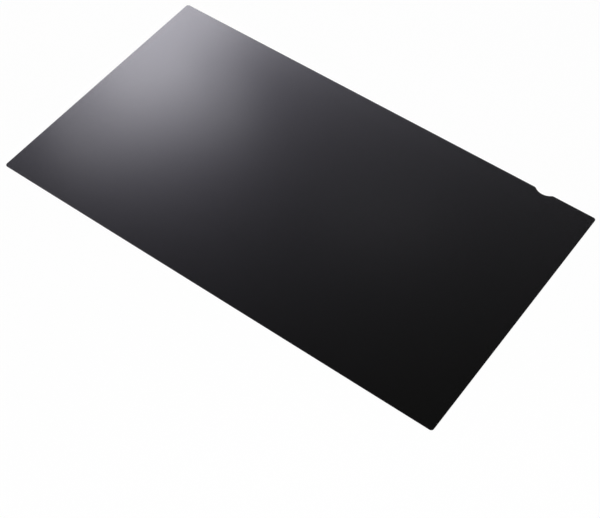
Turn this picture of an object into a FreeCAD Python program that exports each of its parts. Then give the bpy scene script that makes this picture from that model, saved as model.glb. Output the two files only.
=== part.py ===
# Monitor privacy filter: one thin die-cut sheet of black louvre film, with rounded corners
# and a thumb notch in its upper long edge. It lies flat, as such a sheet comes to rest.
#
# Frame: origin at the middle of the lower face, +X along the long side, +Y along the short
# side towards the notched edge, +Z up through the sheet.
import FreeCAD
import Part

import math
import os

# Driving dimensions, in millimetres
SHEET_WIDTH = 527.0  # long side, the picture width of a 23.8 inch 16:9 screen
SHEET_HEIGHT = 296.5  # short side, the picture height of that screen
SHEET_THICKNESS = 0.5
CORNER_RADIUS = 3.0
RIM_RADIUS = 0.08  # the knife leaves the cut edge slightly rolled over, on both faces
NOTCH_TO_RIGHT_EDGE = 59.8  # from the notch's middle to the right-hand short side
NOTCH_DEPTH = 4.1
NOTCH_RADIUS = 14.0  # the round scoop that takes a fingertip
NOTCH_MOUTH_RADIUS = 4.0  # rounds the scoop into the straight edge on both sides

# Limits and places that follow from the driving dimensions
MOST_OF_HALF_THICKNESS = 0.9  # the rolled rim leaves some of the cut edge upright
RIGHT = SHEET_WIDTH / 2
TOP = SHEET_HEIGHT / 2
NOTCH_X = RIGHT - NOTCH_TO_RIGHT_EDGE


def point(x, y):
    """A point of the outline, on the sheet's lower face."""
    return FreeCAD.Vector(x, y, 0)


def on_circle(centre, radius, degrees):
    """The point of a circle at an angle from +X."""
    angle = math.radians(degrees)
    return point(centre.x + radius * math.cos(angle), centre.y + radius * math.sin(angle))


def arc(centre, radius, start_degrees, end_degrees):
    """An arc of the outline from one angle to another, either way round."""
    middle_degrees = (start_degrees + end_degrees) / 2
    angles = (start_degrees, middle_degrees, end_degrees)
    return Part.Arc(*(on_circle(centre, radius, a) for a in angles)).toShape()


def corner(side_x, side_y, start_degrees):
    """A rounded corner, a quarter turn anticlockwise, at the signs of x and y."""
    centre = point(side_x * (RIGHT - CORNER_RADIUS), side_y * (TOP - CORNER_RADIUS))
    return arc(centre, CORNER_RADIUS, start_degrees, start_degrees + 90)


def notch():
    """The thumb notch from right to left: mouth, scoop and mouth, each tangent to the next."""
    scoop_centre = point(NOTCH_X, TOP + NOTCH_RADIUS - NOTCH_DEPTH)
    mouth_y = TOP - NOTCH_MOUTH_RADIUS
    reach = NOTCH_RADIUS + NOTCH_MOUTH_RADIUS
    lean = math.asin((scoop_centre.y - mouth_y) / reach)
    half_width = reach * math.cos(lean)
    turn = 90 - math.degrees(lean)
    right_mouth = point(NOTCH_X + half_width, mouth_y)
    left_mouth = point(NOTCH_X - half_width, mouth_y)
    return [
        arc(right_mouth, NOTCH_MOUTH_RADIUS, 90, 90 + turn),
        arc(scoop_centre, NOTCH_RADIUS, 270 + turn, 270 - turn),
        arc(left_mouth, NOTCH_MOUTH_RADIUS, 90 - turn, 90),
    ]


def joined(curves):
    """The curves in order as one closed wire, with a straight edge across each gap."""
    edges = []
    for curve, following in zip(curves, curves[1:] + curves[:1]):
        edges.append(curve)
        end = curve.lastVertex(True).Point
        start = following.firstVertex(True).Point
        if end.distanceToPoint(start) > Part.Precision.confusion():
            edges.append(Part.LineSegment(end, start).toShape())
    return Part.Wire(edges)


def filter_sheet():
    """The whole filter: the outline, one sheet thick, with its rims rolled over."""
    curves = [corner(1, 1, 0)]
    curves += notch()
    curves += [corner(-1, 1, 90), corner(-1, -1, 180), corner(1, -1, 270)]
    sheet = Part.Face(joined(curves)).extrude(FreeCAD.Vector(0, 0, SHEET_THICKNESS))
    rim_radius = min(RIM_RADIUS, MOST_OF_HALF_THICKNESS * SHEET_THICKNESS / 2)
    rims = [e for e in sheet.Edges if abs(e.BoundBox.ZLength) < Part.Precision.confusion()]
    return sheet.makeFillet(rim_radius, rims)


os.makedirs("parts", exist_ok=True)
filter_sheet().exportStep("parts/filter_sheet.step")
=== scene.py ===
import math

import bpy
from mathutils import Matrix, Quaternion, Vector

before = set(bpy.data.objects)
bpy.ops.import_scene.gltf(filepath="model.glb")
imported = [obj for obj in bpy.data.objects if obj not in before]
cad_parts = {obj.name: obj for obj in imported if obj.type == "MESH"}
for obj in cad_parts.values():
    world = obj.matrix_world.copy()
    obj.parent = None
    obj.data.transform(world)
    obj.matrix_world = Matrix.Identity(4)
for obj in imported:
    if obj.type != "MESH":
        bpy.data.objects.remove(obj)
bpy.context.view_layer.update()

# Camera, at the photograph's viewing angle
CAMERA_PLACE = Vector((0.52156, -0.66708, 1.03528))
CAMERA_AIM = Vector((0.05502, -0.06506, 0.0005))
CAMERA_ROLL = 1.336
CAMERA_LENS_MM = 79.02
SENSOR_WIDTH_MM = 36.0

# Film, under a clear hard coat
FILM_BLACK = (0.001, 0.0011, 0.0004, 1.0)  # a louvre seen from its side
FILM_GAP = (0.0028, 0.0031, 0.0012, 1.0)  # the clear strip between two louvres
LOUVRE_PITCH = 0.0001
FILM_IOR = 1.45
FILM_TINT = (0.7, 0.64, 1.0, 1.0)  # a violet cast on the film's own shine, under the coat's white one
FACE_ROUGHNESS = 0.265
COAT_WEIGHT = 1.0
COAT_ROUGHNESS = 0.177
UNEVEN_ROUGHNESS = 0.004  # how far the roughness strays over the sheet
UNEVEN_SIZE = 0.03
UNEVEN_DETAIL = 2.0
GRAIN_SIZE = 0.00012  # the anti-glare grain of the hard coat
GRAIN_HEIGHT = 0.0000025
GRAIN_DETAIL = 1.0
NOISE_MIDDLE = 0.5  # the noise texture strays from 0 to 1
EDGE_GREY = (0.012, 0.012, 0.0125, 1.0)  # the cut edge, slightly frosted by the knife
EDGE_ROUGHNESS = 0.45
EDGE_STARTS = 0.9  # a face is the cut edge where its normal's upright share is under this

# Floor and room
FLOOR_SIDE = 16.0
FLOOR_DROP = 0.00005  # keeps the floor clear of the sheet's lower face
FLOOR_TOUCH = 0.0002  # within this reach the floor is clear, so the sheet's underside gets light too
FLOOR_COLOUR = (0.95, 0.95, 0.95, 1.0)
FLOOR_WHITE_SHARE = 0.9  # how much of the floor is plain white to the camera and in reflections
# The room's brightness by elevation: a white horizon, dim walls with a paler top, and a dark ceiling
ROOM_TONES = [(4.0, 0.91), (12.0, 0.12), (38.0, 0.12), (46.0, 0.193), (53.0, 0.039), (60.0, 0.0006)]

# Lamps, where a radiance of 1 looks white
LAMPS = [
    {
        "name": "tall_softbox",
        "azimuth": 142.8,
        "elevation": 36.9,
        "distance": 1.8,
        "width": 0.46,
        "height": 0.58,
        "radiance": 2.08,
    },
    {
        "name": "wide_panel",
        "azimuth": 133.7,
        "elevation": 30.9,
        "distance": 1.8,
        "width": 2.38,
        "height": 0.5,
        "radiance": 3.75,
    },
    {
        "name": "faint_panel",
        "azimuth": 117.4,
        "elevation": 52.5,
        "distance": 1.8,
        "width": 0.27,
        "height": 0.12,
        "radiance": 0.17,
    },
    {
        "name": "small_panel",
        "azimuth": 142.1,
        "elevation": 40.8,
        "distance": 1.8,
        "width": 0.21,
        "height": 0.105,
        "radiance": 4.4,
    },
    {
        "name": "fill_panel",
        "azimuth": -50.0,
        "elevation": 55.0,
        "distance": 2.5,
        "width": 1.5,
        "height": 1.5,
        "radiance": 7.6,
    },
]


def new_material(name):
    """An empty node material, with its output node."""
    material = bpy.data.materials.new(name)
    material.use_nodes = True
    material.node_tree.nodes.clear()
    output = material.node_tree.nodes.new("ShaderNodeOutputMaterial")
    return material, material.node_tree, output


def math_node(tree, operation, first, second=0.0):
    """A node that works on one or two values, each an output socket or a number."""
    node = tree.nodes.new("ShaderNodeMath")
    node.operation = operation
    for socket, value in zip(node.inputs, (first, second)):
        if isinstance(value, bpy.types.NodeSocket):
            tree.links.new(value, socket)
        else:
            socket.default_value = value
    return node.outputs["Value"]


def blended(tree, kind, share, first, second):
    """A mix of two floats or colours, each an output socket or a value."""
    node = tree.nodes.new("ShaderNodeMix")
    node.data_type = kind
    sockets = [s for s in node.inputs if s.enabled]
    tree.links.new(share, sockets[0])
    for socket, value in zip(sockets[1:], (first, second)):
        if isinstance(value, bpy.types.NodeSocket):
            tree.links.new(value, socket)
        else:
            socket.default_value = value
    return next(s for s in node.outputs if s.enabled)


def mixed_shader(tree, share, first, second):
    """A mix of two shaders by a share."""
    node = tree.nodes.new("ShaderNodeMixShader")
    for source, socket in zip((share, first, second), node.inputs):
        tree.links.new(source, socket)
    return node.outputs["Shader"]


def louvre_colour(tree, place):
    """Dark louvres across the sheet, with a slightly paler clear strip between each two."""
    louvres = tree.nodes.new("ShaderNodeTexWave")
    louvres.wave_type = "BANDS"
    louvres.bands_direction = "X"
    bands_per_unit = 20 / math.tau  # the wave texture's own count at a scale of 1
    louvres.inputs["Scale"].default_value = 1 / (LOUVRE_PITCH * bands_per_unit)
    tree.links.new(place, louvres.inputs["Vector"])
    return blended(tree, "RGBA", louvres.outputs["Fac"], FILM_BLACK, FILM_GAP)


def noise(tree, place, size, detail):
    """Noise with lumps of about the given size."""
    node = tree.nodes.new("ShaderNodeTexNoise")
    node.inputs["Scale"].default_value = 1 / size
    node.inputs["Detail"].default_value = detail
    tree.links.new(place, node.inputs["Vector"])
    return node.outputs["Fac"]


def cut_edge_share(tree):
    """1 on the cut edge and 0 on both faces, from how far the surface's normal points up or down."""
    geometry = tree.nodes.new("ShaderNodeNewGeometry")
    parts = tree.nodes.new("ShaderNodeSeparateXYZ")
    tree.links.new(geometry.outputs["Normal"], parts.inputs["Vector"])
    facing = math_node(tree, "ABSOLUTE", parts.outputs["Z"])
    return math_node(tree, "LESS_THAN", facing, EDGE_STARTS)


def film_roughness(tree, place, edge):
    """The roughness of the faces, which strays a little over the sheet, and of the cut edge."""
    stray = math_node(tree, "SUBTRACT", noise(tree, place, UNEVEN_SIZE, UNEVEN_DETAIL), NOISE_MIDDLE)
    stray = math_node(tree, "MULTIPLY", stray, UNEVEN_ROUGHNESS / NOISE_MIDDLE)
    face_roughness = math_node(tree, "ADD", stray, FACE_ROUGHNESS)
    return blended(tree, "FLOAT", edge, face_roughness, EDGE_ROUGHNESS)


def grain_normal(tree, place):
    """The fine anti-glare grain of the hard coat, as a bump."""
    grain = tree.nodes.new("ShaderNodeBump")
    grain.inputs["Distance"].default_value = GRAIN_HEIGHT
    tree.links.new(noise(tree, place, GRAIN_SIZE, GRAIN_DETAIL), grain.inputs["Height"])
    return grain.outputs["Normal"]


def film_material():
    """Satin black louvre film: fine louvres under a hard coat with an anti-glare grain."""
    material, tree, output = new_material("louvre_film_satin")
    place = tree.nodes.new("ShaderNodeTexCoord").outputs["Object"]
    edge = cut_edge_share(tree)
    film = tree.nodes.new("ShaderNodeBsdfPrincipled")
    film.inputs["IOR"].default_value = FILM_IOR
    film.inputs["Specular Tint"].default_value = FILM_TINT
    film.inputs["Coat Weight"].default_value = COAT_WEIGHT
    film.inputs["Coat Roughness"].default_value = COAT_ROUGHNESS
    colour = blended(tree, "RGBA", edge, louvre_colour(tree, place), EDGE_GREY)
    tree.links.new(colour, film.inputs["Base Color"])
    tree.links.new(film_roughness(tree, place, edge), film.inputs["Roughness"])
    grain = grain_normal(tree, place)
    for layer in ("Normal", "Coat Normal"):
        tree.links.new(grain, film.inputs[layer])
    tree.links.new(film.outputs["BSDF"], output.inputs["Surface"])
    return material


def floor_material():
    """A pale floor that takes the shadow, and shows white. From below and at a touch it is clear."""
    material, tree, output = new_material("studio_floor")
    pale = tree.nodes.new("ShaderNodeBsdfDiffuse")
    pale.inputs["Color"].default_value = FLOOR_COLOUR
    white = tree.nodes.new("ShaderNodeEmission")
    rays = tree.nodes.new("ShaderNodeLightPath").outputs
    seen = math_node(tree, "MAXIMUM", rays["Is Camera Ray"], rays["Is Glossy Ray"])
    seen = math_node(tree, "MAXIMUM", seen, rays["Is Transmission Ray"])
    share = math_node(tree, "MULTIPLY", seen, FLOOR_WHITE_SHARE)
    above = mixed_shader(tree, share, pale.outputs["BSDF"], white.outputs["Emission"])
    clear = tree.nodes.new("ShaderNodeBsdfTransparent").outputs["BSDF"]
    below = tree.nodes.new("ShaderNodeNewGeometry").outputs["Backfacing"]
    touching = math_node(tree, "LESS_THAN", rays["Ray Length"], FLOOR_TOUCH)
    unseen = math_node(tree, "MAXIMUM", below, touching)
    tree.links.new(mixed_shader(tree, unseen, above, clear), output.inputs["Surface"])
    return material


def make_floor():
    """A wide flat floor just under the sheet."""
    half = FLOOR_SIDE / 2
    mesh = bpy.data.meshes.new("studio_floor")
    corners = [(-half, -half), (half, -half), (half, half), (-half, half)]
    mesh.from_pydata([(x, y, -FLOOR_DROP) for x, y in corners], [], [(0, 1, 2, 3)])
    mesh.materials.append(floor_material())
    floor = bpy.data.objects.new("studio_floor", mesh)
    bpy.context.scene.collection.objects.link(floor)


def make_room():
    """A room that is lit evenly all round, and alike above and below the floor."""
    world = bpy.data.worlds.new("studio_room")
    bpy.context.scene.world = world
    world.use_nodes = True
    tree = world.node_tree
    direction = tree.nodes.new("ShaderNodeTexCoord").outputs["Generated"]
    parts = tree.nodes.new("ShaderNodeSeparateXYZ")
    tree.links.new(direction, parts.inputs["Vector"])
    ramp = tree.nodes.new("ShaderNodeValToRGB")
    tree.links.new(math_node(tree, "ABSOLUTE", parts.outputs["Z"]), ramp.inputs["Fac"])
    tree.links.new(ramp.outputs["Color"], tree.nodes["Background"].inputs["Color"])
    stops = ramp.color_ramp.elements
    while len(stops) < len(ROOM_TONES):
        stops.new(1.0)
    for stop, (elevation, brightness) in zip(stops, ROOM_TONES):
        stop.position = math.sin(math.radians(elevation))
        stop.color = (brightness, brightness, brightness, 1.0)


def make_lamp(name, azimuth, elevation, distance, width, height, radiance):
    """A flat lamp that faces the sheet's middle."""
    lamp = bpy.data.lights.new(name, "AREA")
    lamp.shape = "RECTANGLE"
    lamp.size = width
    lamp.size_y = height
    lamp.energy = radiance * math.pi * width * height  # an even lamp's power, from its radiance
    turn, lift = math.radians(azimuth), math.radians(elevation)
    away = Vector((math.cos(lift) * math.cos(turn), math.cos(lift) * math.sin(turn), math.sin(lift)))
    holder = bpy.data.objects.new(name, lamp)
    holder.location = away * distance
    holder.rotation_euler = (-away).to_track_quat("-Z", "Y").to_euler()
    bpy.context.scene.collection.objects.link(holder)


def make_camera():
    """The camera at the photograph's place, aim and lens."""
    lens = bpy.data.cameras.new("camera")
    lens.lens = CAMERA_LENS_MM
    lens.sensor_width = SENSOR_WIDTH_MM
    camera = bpy.data.objects.new("camera", lens)
    camera.location = CAMERA_PLACE
    aim = CAMERA_AIM - CAMERA_PLACE
    upright = aim.to_track_quat("-Z", "Y")
    roll = Quaternion(aim.normalized(), math.radians(CAMERA_ROLL))
    camera.rotation_euler = (roll @ upright).to_euler()
    bpy.context.scene.collection.objects.link(camera)
    bpy.context.scene.camera = camera


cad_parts["filter_sheet"].material_slots[0].material = film_material()
make_floor()
make_room()
for lamp in LAMPS:
    make_lamp(**lamp)
make_camera()
bpy.context.scene.view_settings.view_transform = "Standard"
